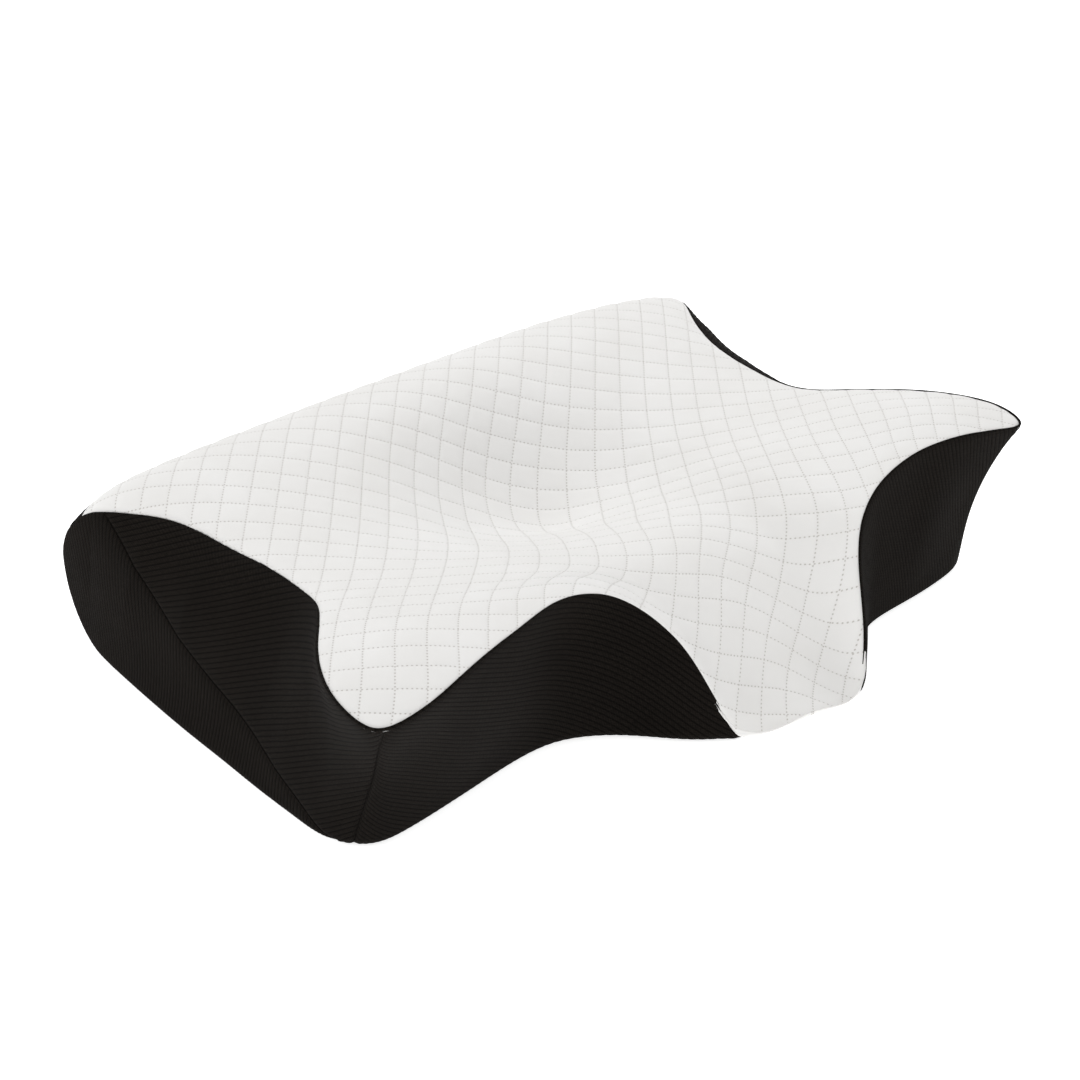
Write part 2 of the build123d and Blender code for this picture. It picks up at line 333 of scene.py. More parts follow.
def warp(p):
    """The tongue and the notches lie a little to one side; everything else stays put."""
    q = np.array(p, float)
    move = np.zeros((len(q), 2))
    for i in range(0, len(q), 20000):
        move[i:i + 20000] = _kernel(q[i:i + 20000]) @ LEAN_W
    q[:, 0] += TONGUE_SHIFT * np.exp(-(q[:, 0] / 118.0) ** 2) * step(80, -130, q[:, 1])
    front = step(-110, -165, q[:, 1])
    x = q[:, 0]
    q[:, 1] += front * (14.0 * np.exp(-((x + 78) / 66.0) ** 2) - 9.0 * np.exp(-((x - 138) / 50.0) ** 2)
                        + 5.0 * np.exp(-((x - 40) / 45.0) ** 2))
    q[:, :2] += front[:, None] * move
    return q


def metres(p):
    q = warp(p)
    q[:, 1] += Y_SHIFT
    return q * 0.001


def unit(v):
    return v / np.maximum(np.linalg.norm(v, axis=-1, keepdims=True), 1e-12)


def grid_normals(g, flip=False):
    """Normals of a grid of points (rows, cols, 3)."""
    n = np.cross(np.gradient(g, axis=1), np.gradient(g, axis=0))
    bad = np.linalg.norm(n, axis=2) < 1e-9
    n = unit(n)
    if bad.any():
        for _ in range(3):
            rolled = sum(np.roll(n, k, axis=a) for a in (0, 1) for k in (-1, 1))
            n = np.where(bad[..., None], unit(rolled), n)
    return -n if flip else n


def grid_faces(rows, cols, flip=False):
    i = np.arange(rows * cols).reshape(rows, cols)
    f = np.stack([i[:-1, :-1], i[:-1, 1:], i[1:, 1:], i[1:, :-1]], -1).reshape(-1, 4)
    return f[:, ::-1] if flip else f


def thick(points, normals, faces, t):
    """Closed shell: the outer skin, an inner skin t below it and a rim."""
    n = len(points)
    sizes = np.array([len(f) for f in faces])
    flat = np.concatenate([np.asarray(f) for f in faces])
    starts = np.concatenate([[0], np.cumsum(sizes)[:-1]])
    nxt = np.arange(len(flat)) + 1
    nxt[starts + sizes - 1] = starts
    a, b = flat, flat[nxt]
    code, back = a.astype(np.int64) * n + b, b.astype(np.int64) * n + a
    edge = ~np.isin(code, back)
    a, b = a[edge], b[edge]
    rim = np.stack([b, a, a + n, b + n], 1)
    inner = [tuple(int(v) + n for v in reversed(f)) for f in faces]
    pts = np.vstack([points, points - normals * t])
    return pts, [tuple(int(v) for v in f) for f in faces] + inner + [tuple(f) for f in rim.tolist()]


def make(name, chunks, material, nodes, body="root", t=1.5, smooth=True):
    """One object from (points, normals, faces, fabric coordinates) chunks in layout millimetres."""
    verts, faces, fabs, off = [], [], [], 0
    for points, normals, fcs, fab in chunks:
        p, f = thick(points, normals, fcs, t)
        verts.append(p)
        fabs.append(np.vstack([fab, fab]))
        faces += [tuple(v + off for v in q) for q in f]
        off += len(p)
    v = metres(np.vstack(verts))
    me = bpy.data.meshes.new(name)
    me.from_pydata(v.tolist(), [], faces)
    me.validate()
    at = me.attributes.new("fab", "FLOAT_VECTOR", "POINT")
    at.data.foreach_set("vector", np.vstack(fabs).astype(np.float32).ravel())
    me.shade_smooth() if smooth else None
    me.materials.append(material)
    me.update()
    ob = bpy.data.objects.new(name, me)
    bpy.context.scene.collection.objects.link(ob)
    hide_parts(*nodes)
    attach(ob, body)
    return ob


def mirror_chunk(chunk):
    p, n, f, fab = chunk
    k = np.array([-1.0, 1, 1])
    return p * k, n * k, [tuple(reversed(q)) for q in f], fab


def region(poly, h):
    """Fills a closed polygon with a square grid of step h, cut exactly at its edge."""
    lo, hi = poly.min(0) - h, poly.max(0) + h
    nx, ny = int((hi[0] - lo[0]) / h) + 2, int((hi[1] - lo[1]) / h) + 2
    gx = lo[0] + h * np.arange(nx) + 0.0137
    gy = lo[1] + h * np.arange(ny) + 0.0171
    a, b = poly, np.roll(poly, -1, axis=0)

    def crossings(axis, level):
        o = 1 - axis
        hit = (a[:, axis] <= level) != (b[:, axis] <= level)
        t = (level - a[hit, axis]) / (b[hit, axis] - a[hit, axis])
        return np.sort(a[hit, o] + t * (b[hit, o] - a[hit, o]))

    rows = [crossings(1, y) for y in gy]
    cols = [crossings(0, x) for x in gx]
    inside = np.array([np.searchsorted(r, gx) % 2 == 1 for r in rows])
    index = -np.ones((ny, nx), int)
    index[inside] = np.arange(inside.sum())
    pts = [np.stack(np.broadcast_arrays(gx[None, :], gy[:, None]), -1)[inside]]
    full = inside[:-1, :-1] & inside[:-1, 1:] & inside[1:, 1:] & inside[1:, :-1]
    quads = np.stack([index[:-1, :-1], index[:-1, 1:], index[1:, 1:], index[1:, :-1]], -1)[full]
    some = (inside[:-1, :-1] | inside[:-1, 1:] | inside[1:, 1:] | inside[1:, :-1]) & ~full
    count = int(inside.sum())
    extra, made, polys = [], {}, []

    def cut(j, i, horizontal):
        key = (j, i, horizontal)
        if key not in made:
            if horizontal:
                c = rows[j]
                c = c[(c >= gx[i]) & (c <= gx[i + 1])]
                p = (float(c[0]) if len(c) else gx[i] + h / 2, gy[j])
            else:
                c = cols[i]
                c = c[(c >= gy[j]) & (c <= gy[j + 1])]
                p = (gx[i], float(c[0]) if len(c) else gy[j] + h / 2)
            made[key] = count + len(extra)
            extra.append(p)
        return made[key]

    for j, i in zip(*np.nonzero(some)):
        ring = [(j, i), (j, i + 1), (j + 1, i + 1), (j + 1, i)]
        edges = [(j, i, True), (j, i + 1, False), (j + 1, i, True), (j, i, False)]
        out = []
        for k in range(4):
            p, q = ring[k], ring[(k + 1) % 4]
            if inside[p]:
                out.append(int(index[p]))
            if inside[p] != inside[q]:
                out.append(cut(*edges[k]))
        if len(out) >= 3:
            polys.append(tuple(out))
    pts.append(np.array(extra))
    return np.vstack(pts), [tuple(q) for q in quads.tolist()] + polys


def near(points, line, reach):
    """Distance from each point to the nearest point of a dense line, and which one; reach limits the search."""
    cell = reach
    dist = np.full(len(points), reach * 3.0)
    which = np.zeros(len(points), int)
    keys = {}
    kp = np.floor(line[:, :2] / cell).astype(int)
    for n, k in enumerate(map(tuple, kp)):
        keys.setdefault(k, []).append(n)
    pp = np.floor(points[:, :2] / cell).astype(int)
    order = np.lexsort((pp[:, 1], pp[:, 0]))
    uniq, start = np.unique(pp[order], axis=0, return_index=True)
    start = list(start) + [len(points)]
    for k, (cx, cy) in enumerate(uniq):
        cand = [n for a in (-1, 0, 1) for b in (-1, 0, 1) for n in keys.get((cx + a, cy + b), ())]
        if not cand:
            continue
        ids = order[start[k]:start[k + 1]]
        cand = np.array(cand)
        d = np.linalg.norm(points[ids][:, None, :2] - line[cand][None, :, :2], axis=2)
        m = d.argmin(1)
        dist[ids] = d[np.arange(len(ids)), m]
        which[ids] = cand[m]
    return dist, which


# ---- materials ------------------------------------------------------------
def nodes_of(name):
    m = bpy.data.materials.new(name)
    m.use_nodes = True
    nt = m.node_tree
    nt.nodes.clear()
    out = nt.nodes.new("ShaderNodeOutputMaterial")
    bs = nt.nodes.new("ShaderNodeBsdfPrincipled")
    nt.links.new(bs.outputs[0], out.inputs[0])
    return m, nt, bs


def math_node(nt, op, a, b=None, c=None, clamp=False):
    n = nt.nodes.new("ShaderNodeMath")
    n.operation = op
    n.use_clamp = clamp
    for k, v in enumerate((a, b, c)):
        if v is None:
            continue
        if isinstance(v, (int, float)):
            n.inputs[k].default_value = v
        else:
            nt.links.new(v, n.inputs[k])
    return n.outputs[0]


def ramp(nt, fac, stops):
    n = nt.nodes.new("ShaderNodeValToRGB")
    nt.links.new(fac, n.inputs[0])
    e = n.color_ramp.elements
    while len(e) < len(stops):
        e.new(0.5)
    for k, (pos, col) in enumerate(stops):
        e[k].position = pos
        e[k].color = (*col, 1)
    return n.outputs[0]


def noise(nt, vec, scale, detail=3.0, rough=0.6):
    n = nt.nodes.new("ShaderNodeTexNoise")
    n.inputs["Scale"].default_value = scale
    n.inputs["Detail"].default_value = detail
    n.inputs["Roughness"].default_value = rough
    if vec is not None:
        nt.links.new(vec, n.inputs["Vector"])
    return n.outputs["Fac"]


def bump(nt, bs, height, distance, strength=1.0, normal=None):
    n = nt.nodes.new("ShaderNodeBump")
    n.inputs["Strength"].default_value = strength
    n.inputs["Distance"].default_value = distance
    nt.links.new(height, n.inputs["Height"])
    if normal is not None:
        nt.links.new(normal, n.inputs["Normal"])
    nt.links.new(n.outputs[0], bs.inputs["Normal"])
    return n.outputs[0]


def attribute(nt, name):
    n = nt.nodes.new("ShaderNodeAttribute")
    n.attribute_name = name
    s = nt.nodes.new("ShaderNodeSeparateXYZ")
    nt.links.new(n.outputs["Vector"], s.inputs[0])
    return n.outputs["Vector"], s.outputs


def quilt_material():
    m, nt, bs = nodes_of("quilted_knit")
    vec, (a, b, edge) = attribute(nt, "fab")

    def line_dots(across, along):
        f = math_node(nt, "FRACT", math_node(nt, "ADD", math_node(nt, "DIVIDE", across, CELL), 0.5))
        d = math_node(nt, "MULTIPLY", math_node(nt, "ABSOLUTE", math_node(nt, "SUBTRACT", f, 0.5)), CELL)
        g = math_node(nt, "FRACT", math_node(nt, "DIVIDE", along, 2.6))
        e = math_node(nt, "MULTIPLY", math_node(nt, "ABSOLUTE", math_node(nt, "SUBTRACT", g, 0.5)), 2.6)
        r = math_node(nt, "ADD", math_node(nt, "POWER", math_node(nt, "DIVIDE", d, 0.62), 2.0),
                      math_node(nt, "POWER", math_node(nt, "DIVIDE", e, 0.72), 2.0))
        dots = math_node(nt, "SUBTRACT", 1.0, r, clamp=True)
        shaded_groove = math_node(nt, "SUBTRACT", 1.0, math_node(nt, "DIVIDE", d, 1.7), clamp=True)
        return dots, shaded_groove

    d1, g1 = line_dots(a, b)
    d2, g2 = line_dots(b, a)
    dots = math_node(nt, "MAXIMUM", d1, d2)
    shaded_groove = math_node(nt, "MAXIMUM", g1, g2)
    fine = noise(nt, vec, 1.1, 2.0, 0.5)
    wide = noise(nt, vec, 0.02, 3.0, 0.5)
    # tiny knit loops
    la = math_node(nt, "SINE", math_node(nt, "MULTIPLY", math_node(nt, "ADD", a, b), 2 * math.pi / 1.25))
    lb = math_node(nt, "SINE", math_node(nt, "MULTIPLY", math_node(nt, "SUBTRACT", a, b), 2 * math.pi / 1.05))
    loops = math_node(nt, "MULTIPLY", la, lb)
    tone = ramp(nt, wide, [(0.3, (0.800, 0.790, 0.772)), (0.7, (0.835, 0.828, 0.815))])
    mix = nt.nodes.new("ShaderNodeMix")
    mix.data_type = "RGBA"
    # Mix factor: the dots are the stitching thread's own colour; the faint groove term is painted shade along the
    # quilting grooves.
    nt.links.new(math_node(nt, "ADD", math_node(nt, "MULTIPLY", dots, 0.72), math_node(nt, "MULTIPLY", shaded_groove, 0.03), clamp=True),
                 mix.inputs[0])
    nt.links.new(tone, mix.inputs[6])
    mix.inputs[7].default_value = (0.42, 0.39, 0.355, 1)
    nt.links.new(mix.outputs[2], bs.inputs["Base Color"])
    bs.inputs["Roughness"].default_value = 0.82
    bs.inputs["Specular IOR Level"].default_value = 0.25
    bs.inputs["Sheen Weight"].default_value = 0.25
    bs.inputs["Sheen Roughness"].default_value = 0.5
    h = math_node(nt, "ADD", math_node(nt, "MULTIPLY", loops, 0.10), math_node(nt, "MULTIPLY", fine, 0.35))
    h = math_node(nt, "SUBTRACT", h, math_node(nt, "MULTIPLY", dots, 1.2))
    bump(nt, bs, h, 0.00035, 0.6)
    return m


def black_material(name="black_knit", warm=1.0):
    """Ribbed knit; fab = (rib count across, millimetres along the rib, strength)."""
    m, nt, bs = nodes_of(name)
    vec, (r, t, k) = attribute(nt, "fab")
    band = math_node(nt, "ABSOLUTE", math_node(nt, "SINE", math_node(nt, "MULTIPLY", r, math.pi)))
    shaded_groove = math_node(nt, "SUBTRACT", 1.0, math_node(nt, "DIVIDE", band, 0.55), clamp=True)
    # short knit stitches: rows along the rib, shifted every other course
    course = math_node(nt, "SINE", math_node(nt, "MULTIPLY", r, math.pi * 8))
    stitch = math_node(nt, "SINE", math_node(nt, "ADD", math_node(nt, "MULTIPLY", t, 2 * math.pi / 1.7),
                                            math_node(nt, "MULTIPLY", math_node(nt, "FLOOR", math_node(nt, "MULTIPLY", r, 4.0)), math.pi)))
    loops = math_node(nt, "MULTIPLY", math_node(nt, "ABSOLUTE", course), math_node(nt, "MULTIPLY_ADD", stitch, 0.5, 0.5))
    comb = nt.nodes.new("ShaderNodeCombineXYZ")
    nt.links.new(math_node(nt, "MULTIPLY", r, 5.0), comb.inputs[0])
    nt.links.new(math_node(nt, "MULTIPLY", t, 0.45), comb.inputs[1])
    streak = noise(nt, comb.outputs[0], 1.0, 3.0, 0.6)
    wide = noise(nt, vec, 0.03, 2.0, 0.5)
    # Colour: the knit stitches are lighter, partly the knit's own pattern and partly a painted highlight on the stitch
    # tops; the rib grooves are darkened as painted shade.
    f = math_node(nt, "MULTIPLY", math_node(nt, "ADD", math_node(nt, "MULTIPLY", streak, 0.75),
                                           math_node(nt, "MULTIPLY", loops, 0.35)),
                  math_node(nt, "SUBTRACT", 1.0, math_node(nt, "MULTIPLY", shaded_groove, 0.72)))
    f = math_node(nt, "ADD", f, math_node(nt, "MULTIPLY", math_node(nt, "SUBTRACT", wide, 0.5), 0.15), clamp=True)
    col = ramp(nt, f, [(0.05, (0.0012 * warm, 0.0009, 0.0007)), (0.42, (0.0062 * warm, 0.0049, 0.0039)),
                       (0.85, (0.0200 * warm, 0.0160, 0.0130))])
    nt.links.new(col, bs.inputs["Base Color"])
    bs.inputs["Roughness"].default_value = 0.88
    bs.inputs["Specular IOR Level"].default_value = 0.06
    bs.inputs["Sheen Weight"].default_value = 0.008
    bs.inputs["Sheen Roughness"].default_value = 0.45
    h = math_node(nt, "SUBTRACT", math_node(nt, "ADD", math_node(nt, "MULTIPLY", loops, 0.5),
                                            math_node(nt, "MULTIPLY", streak, 0.6)),
                  math_node(nt, "MULTIPLY", shaded_groove, 0.9))
    bump(nt, bs, h, 0.0004, 0.7)
    return m


def simple_material(name, lo, hi, scale, rough, depth, metallic=0.0, spec=0.4, rough_var=0.1):
    m, nt, bs = nodes_of(name)
    tc = nt.nodes.new("ShaderNodeTexCoord")
    f = noise(nt, tc.outputs["Object"], scale, 4.0, 0.6)
    nt.links.new(ramp(nt, f, [(0.25, lo), (0.75, hi)]), bs.inputs["Base Color"])
    nt.links.new(math_node(nt, "MULTIPLY_ADD", f, rough_var, rough - rough_var / 2), bs.inputs["Roughness"])
    bs.inputs["Metallic"].default_value = metallic
    bs.inputs["Specular IOR Level"].default_value = spec
    bump(nt, bs, f, depth, 0.5)
    return m


def foam_material():
    m, nt, bs = nodes_of("foam")
    tc = nt.nodes.new("ShaderNodeTexCoord")
    v = nt.nodes.new("ShaderNodeTexVoronoi")
    v.inputs["Scale"].default_value = 900.0
    nt.links.new(tc.outputs["Object"], v.inputs["Vector"])
    nt.links.new(ramp(nt, v.outputs["Distance"], [(0.0, (0.70, 0.64, 0.42)), (0.6, (0.84, 0.79, 0.58))]), bs.inputs["Base Color"])
    bs.inputs["Roughness"].default_value = 0.9
    bump(nt, bs, v.outputs["Distance"], 0.0006, 0.6)
    return m


def tape_material():
    m, nt, bs = nodes_of("zip_tape")
    tc = nt.nodes.new("ShaderNodeTexCoord")
    sep = nt.nodes.new("ShaderNodeSeparateXYZ")
    nt.links.new(tc.outputs["Object"], sep.inputs[0])
    zig = math_node(nt, "PINGPONG", math_node(nt, "MULTIPLY", sep.outputs[0], 1000.0), 1.0)
    w = math_node(nt, "SINE", math_node(nt, "MULTIPLY", math_node(nt, "ADD", math_node(nt, "MULTIPLY", sep.outputs[2], 1000.0), zig), 7.0))
    f = math_node(nt, "MULTIPLY_ADD", w, 0.5, 0.5)
    nt.links.new(ramp(nt, f, [(0.0, (0.006, 0.0055, 0.005)), (1.0, (0.022, 0.020, 0.018))]), bs.inputs["Base Color"])
    bs.inputs["Roughness"].default_value = 0.8
    bs.inputs["Specular IOR Level"].default_value = 0.2
    bump(nt, bs, f, 0.0002, 0.6)
    return m


QUILT = quilt_material()
BLACK = black_material()
FOAM = foam_material()
TAPE = tape_material()
NYLON = simple_material("zip_nylon", (0.010, 0.010, 0.010), (0.024, 0.023, 0.022), 1500, 0.42, 0.00003)
METAL = simple_material("zip_metal", (0.020, 0.020, 0.021), (0.034, 0.033, 0.033), 900, 0.33, 0.00002, 0.6, 0.5)

# ---- seam lines -----------------------------------------------------------
_ts = np.linspace(0, 1, 2600)
SEAM_S = S_START + (S_END - S_START) * _ts
SEAM_S = SEAM_S[wall(SEAM_S, z_hi(SEAM_S))[1] < ROLL_U + roll_radius(50.0, 8.5, 262.0) * math.cos(SEAM_ANGLE)]
SEAM_Z = z_hi(SEAM_S)
_sx, _su = wall(SEAM_S, SEAM_Z)
SEAM = np.stack([_sx, _su, SEAM_Z], 1)                # right half, roll to tongue tip
_tg = np.gradient(np.stack(wall(SEAM_S, SEAM_Z * 0 + 90), 1), axis=0)
SEAM_N = unit(np.stack([-_tg[:, 1], _tg[:, 0], 0 * _sx], 1))   # outwards from the wall
if SEAM_N[0, 0] < 0:
    SEAM_N = -SEAM_N

# back edge of the white top across the roll
_xb = np.linspace(-SEAM[0, 0], SEAM[0, 0], 520)
_rb = roll_radius(50.0, end_drop(_xb, np.full(len(_xb), 140.0)), _xb)
BACK = np.stack([_xb, ROLL_U + _rb * math.cos(SEAM_ANGLE), ROLL_R + _rb * math.sin(SEAM_ANGLE)], 1)
BACK_N = np.tile([0, math.cos(SEAM_ANGLE), math.sin(SEAM_ANGLE)], (len(_xb), 1))

k = np.array([-1.0, 1, 1])
LOOP = np.vstack([SEAM, (SEAM * k)[::-1][1:], BACK[1:-1]])
LOOP_N = np.vstack([SEAM_N, (SEAM_N * k)[::-1][1:], BACK_N[1:-1] * 0 + [0, 0.5, -0.6]])
_t3 = np.abs(LOOP[:, 0])
_w = 1 - step(S_TONGUE - 6, S_TONGUE + 6, SEAM_S)      # no seam across the tongue tip
LOOP_W = np.concatenate([_w, _w[::-1][1:], np.ones(len(BACK) - 2)])


def top_normals(x, u):
    e = 0.4
    zx = (top_z(x + e, u) - top_z(x - e, u)) / (2 * e)
    zu = (top_z(x, u + e) - top_z(x, u - e)) / (2 * e)
    return unit(np.stack([-zx, -zu, np.ones(len(zx))], 1))


# arc length along u, so that the quilting keeps its size on the slopes
_qx = np.linspace(-300, 300, 121)
_qu = np.linspace(164, -262, 427)
_g = top_z(np.repeat(_qx, len(_qu)), np.tile(_qu, len(_qx))).reshape(len(_qx), len(_qu))
_sl = np.clip(np.abs(np.gradient(_g, 1.0, axis=1)), 0, 1.6)
_arc = np.cumsum(np.sqrt(1 + _sl ** 2), axis=1)
_arc -= _arc[:, [56]]


def arc(x, u):
    fx = np.clip((x + 300) / 5.0, 0, 119.999)
    fu = np.clip(164 - u, 0, 425.999)
    i, j = fx.astype(int), fu.astype(int)
    a, b = fx - i, fu - j
    return ((1 - a) * (1 - b) * _arc[i, j] + a * (1 - b) * _arc[i + 1, j]
            + (1 - a) * b * _arc[i, j + 1] + a * b * _arc[i + 1, j + 1])


def quilt_coords(x, u):
    q = arc(x, u)
    return 0.7716 * x + 0.6361 * q + 3.0, 0.6361 * x - 0.7716 * q + 3.0


def puff(a, b):
    def ridge(v):
        d = np.abs((v / CELL + 0.5) % 1.0 - 0.5) * CELL
        return 1 - np.exp(-(d / 1.5) ** 1.5), np.sqrt(np.abs(np.sin(np.pi * v / CELL)))
    e1, s1 = ridge(a)
    e2, s2 = ridge(b)
    return 0.30 * e1 * e2 + 0.50 * s1 * s2


def surface_chunk(xy, faces, line, line_n, line_w):
    x, u = xy[:, 0], xy[:, 1]
    z = top_z(x, u)
    n = top_normals(x, u)
    d, w = near(xy, line, 9.0)
    a, b = quilt_coords(x, u)
    h = puff(a, b) * step(0, 5.0, d) - 0.35
    p = np.stack([x, u, z], 1) + n * h[:, None]
    dip = (np.exp(-(d / 1.7) ** 2) * 0.85 + np.exp(-(d / 5.0) ** 2) * 0.45) * line_w[w]
    p -= unit(n + 1.0 * line_n[w]) * dip[:, None]
    n = unit(n + 2.0 * line_n[w] * (line_w[w] * np.exp(-(d / 5.0) ** 2))[:, None])
    return p, n, faces, np.stack([a, b, np.clip(d, 0, 20)], 1)


# ---- white top ------------------------------------------------------------
xy, fcs = region(LOOP[:, :2], FINE)
top_chunk = surface_chunk(xy, fcs, LOOP, LOOP_N, LOOP_W)


def wall_chunk(sa, sb, low, high, ns, nz, rib, amp, round_r=7.0, seams=("top",), end_inset=False, lip=False):
    """A strip of wall between sa(z) and sb(z) and between the heights low(s) and high(s)."""
    af = np.linspace(0, 1, ns)[None, :].repeat(nz, 0)
    bf = np.linspace(0, 1, nz)[:, None].repeat(ns, 1)
    s = sa(0 * af + 60) * (1 - af) + sb(0 * af + 60) * af
    z = bf * 50
    for _ in range(14):
        z = low(s) + bf * np.clip(high(s) - low(s), 0.0, None)
        s = sa(z) * (1 - af) + sb(z) * af
    z = low(s) + bf * np.clip(high(s) - low(s), 0.0, None)
    x, u = wall(s, z)
    e = 0.6
    x1, u1 = wall(np.clip(s + e, 0, S_END), z)
    x0, u0 = wall(np.clip(s - e, 0, S_END), z)
    out = unit(np.stack([-(u1 - u0), x1 - x0, 0 * x], -1))       # horizontal, outwards
    below = np.clip(1 - z / np.maximum(z_hi(s), 1.0), 0, 1)
    swell = np.interp(u, [-110, -60, -10, 30, 85, 108, 125], [0, 5, 15, 19, 14, 6, 0])
    swell = swell * (1 - np.exp(-below / 0.11)) * (1 - step(0.15, 1.0, below))
    wing = step(-85, -140, u) * step(S_CORNER1 + 70, S_CORNER1 + 5, s)
    swell = swell - 9.0 * wing * np.sin(np.pi * np.clip(1 - below, 0, 1)) ** 1.2
    x, u = x + out[..., 0] * swell, u + out[..., 1] * swell
    if end_inset:
        rho = np.hypot(u - ROLL_U, z - ROLL_R)
        theta = np.degrees(np.arctan2(z - ROLL_R, np.maximum(u - ROLL_U, 1e-6)))
        behind = u > ROLL_U
        rr = np.where(behind, 1e-3 + 6.5 * step(50, 12, theta), 6.0)
        edge_r = roll_radius(theta, 8.5, x)
        delta = np.where(behind, np.clip(edge_r - rho, 0, None), z)
        blendu = step(ROLL_U - 12, ROLL_U + 2, u)
        rr = np.where(behind, rr, 6.0 + 0.5 * blendu)
        out = unit(np.where((u > 60)[..., None], np.array([1.0, 0, 0]), out) + 1e-9)
    else:
        rr = np.minimum(round_r, 0.8 * np.maximum(z_hi(s), 1.0))
        rr = rr + (np.minimum(4.0, 0.8 * z_hi(s)) - rr) * step(S_TONGUE, S_TIP, s)
        delta = z
    k = np.clip(rr - delta, 0, rr)
    inset = rr - np.sqrt(np.clip(rr ** 2 - k ** 2, 0, None))
    g = np.stack([x, u, z], -1) - out * inset[..., None]
    n = grid_normals(g)
    if (n[..., 0] * out[..., 0] + n[..., 1] * out[..., 1]).sum() < 0:
        n = -n
        flip = True
    else:
        flip = False
    # distance to the sewn edges
    g2 = np.full(x.shape, 99.0)
    top_d = np.clip(high(s) - z, 0, None)
    if "top" in seams:
        g2 = np.minimum(g2, top_d)
    if "low" in seams:
        g2 = np.minimum(g2, np.where(low(s) > 0.5, z - low(s), 99.0))
    if "a" in seams:
        g2 = np.minimum(g2, s - sa(z))
    if "b" in seams:
        g2 = np.minimum(g2, sb(z) - s)
    r, t = rib(s, x, u, z)
    band = np.abs(np.sin(np.pi * r))
    rel = amp * (1 - np.exp(-(band / 0.5) ** 2)) * step(0, 3.5, g2)
    dip = 0.35 * np.exp(-(g2 / 1.5) ** 2) + 0.30 * np.exp(-(g2 / 4.5) ** 2)
    side_d = np.minimum(np.where("low" in seams, np.where(low(s) > 0.5, z - low(s), 99.0), 99.0),
                        np.minimum(np.where("a" in seams, s - sa(z), 99.0), np.where("b" in seams, sb(z) - s, 99.0)))
    dip = dip + 0.55 * np.exp(-(side_d / 1.3) ** 2) * step(0, 5, top_d) * step(0, 8, z)
    p = g + n * (rel - dip - amp * 0.5)[..., None]
    fab = np.stack([r, t, g2], -1)
    return p.reshape(-1, 3), n.reshape(-1, 3), [tuple(q) for q in grid_faces(nz, ns, flip).tolist()], fab.reshape(-1, 3)


def const(v):
    return lambda z: 0 * z + v


def rib_end(s, x, u, z):
    """Ribs on the inner end panel rise towards the front of the pillow."""
    ang = 24.4
    extra = -0.0009 * np.clip(20 - u, 0, None) ** 2 * 0.55
    r = (z + math.tan(math.radians(ang)) * u + extra) * math.cos(math.radians(ang))
    return r / 3.3, (-u + 0.45 * z)


def rib_outer(s, x, u, z):
    r = (u - 0.26 * z) * 0.968
    return r / 3.1, z + 0.0 * u


def rib_front(s, x, u, z):
    """Diagonal ribs on the notch panels."""
    r = (s * 0.62 + z * 0.78)
    return r / 3.2, s * 0.78 - z * 0.62


def rib_front_r(s, x, u, z):
    r = (s * 0.86 - z * 0.51)
    return r / 2.9, s * 0.51 + z * 0.86




def NS(a, b):
    return int((b - a) / 0.85) + 2



end_inner = wall_chunk(const(S_JOIN), s_corner, lambda s: np.minimum(z_diag(s), z_hi(s)), z_hi,
                       NS(S_JOIN, S_CORNER1), 136, rib_end, 0.30, 7.0, ("top", "low", "b"))
end_outer = wall_chunk(const(S_START), const(S_TAIL), z_lo, lambda s: np.minimum(z_diag(s), z_hi(s)),
                       NS(S_START, S_TAIL) + 120, 80, rib_outer, 0.26, 8.0, ("top",), end_inset=True)
front_l = wall_chunk(s_corner, const(S_TIP), const(0.0), z_black,
                     NS(S_CORNER0, S_TIP), 130, rib_front, 0.28, 7.0, ("top", "a"))
front_r = wall_chunk(s_corner, const(S_TIP), const(0.0), z_black,
                     NS(S_CORNER0, S_TIP), 130, rib_front_r, 0.28, 7.0, ("top", "a"))
tip = wall_chunk(const(S_TONGUE), const(S_END), z_black, z_hi, 90, 22,
                 lambda s, x, u, z: (0 * s, 0 * s), 0.0, 4.0, ("low",))
tp, tn, tf, tfab = tip
ta, tb = quilt_coords(tp[:, 0], tp[:, 1])
tip = (tp, tn, tf, np.stack([ta, tb, 0 * ta + 9], 1))

top = make("quilted_top_panel", [top_chunk, tip, mirror_chunk(tip)], QUILT, ["cover_top_quilted"], t=0.9)
make("end_panel_right", [end_inner], BLACK, ["cover_end_right"])
make("end_panel_left", [mirror_chunk(end_inner)], BLACK, ["cover_end_left"])
make("notch_panel_right", [front_r], BLACK, ["cover_front_right"])
make("notch_panel_left", [mirror_chunk(front_l)], BLACK, ["cover_front_left"])

# ---- back of the roll -----------------------------------------------------
_hs = np.linspace(S_START - 4, S_START + 120, 900)


def end_x(u, z):
    """|x| of the end wall at a height and a place along the roll."""
    u, z = np.asarray(u, float), np.asarray(z, float)
    lo, hi = np.zeros_like(u), np.full_like(u, S_CORNER0 + 6)
    for _ in range(36):
        m = (lo + hi) / 2
        uu = wall(m, z)[1]
        lo = np.where(uu > u, m, lo)
        hi = np.where(uu > u, hi, m)
    return wall((lo + hi) / 2, z)[0]


